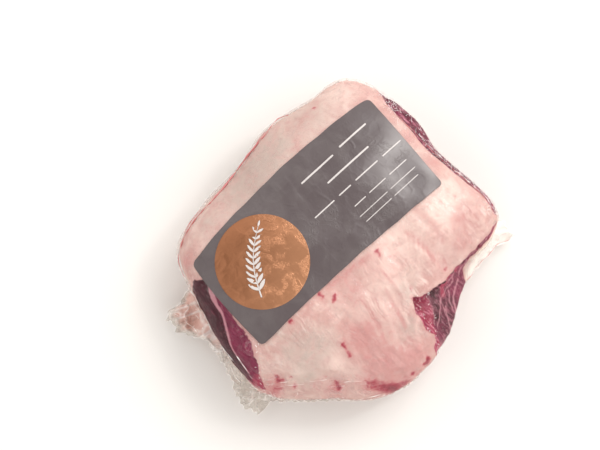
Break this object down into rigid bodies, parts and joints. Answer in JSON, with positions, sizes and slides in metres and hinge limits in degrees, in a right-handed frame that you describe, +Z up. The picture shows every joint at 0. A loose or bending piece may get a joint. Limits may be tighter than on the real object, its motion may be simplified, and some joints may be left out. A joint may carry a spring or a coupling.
{
  "type": "vacuum-packed boned leg of lamb",
  "caption": "Boned leg of lamb, fat side up, sealed in a tight clear vacuum bag with crumpled edges and a long label stuck across the top.",
  "frame": {"origin": "middle of the flat foot that the pack rests on", "axes": "+X along the label, towards the end away from its disc; +Y across the label, towards its bowed long edge; +Z up through the fat side"},
  "size_m": [0.2143, 0.1874, 0.0748],
  "materials": {
    "meat": "pale pink fat and dark red lean meat, wet and glossy under tight film",
    "clear_film": "thin clear plastic film, glossy, wrinkled at the edges",
    "label_paper": "smooth satin grey-brown label with a copper foil disc"
  },
  "bodies": {
    "root": {"lamb_pack": "meat", "label": "label_paper"}
  },
  "joints": []
}
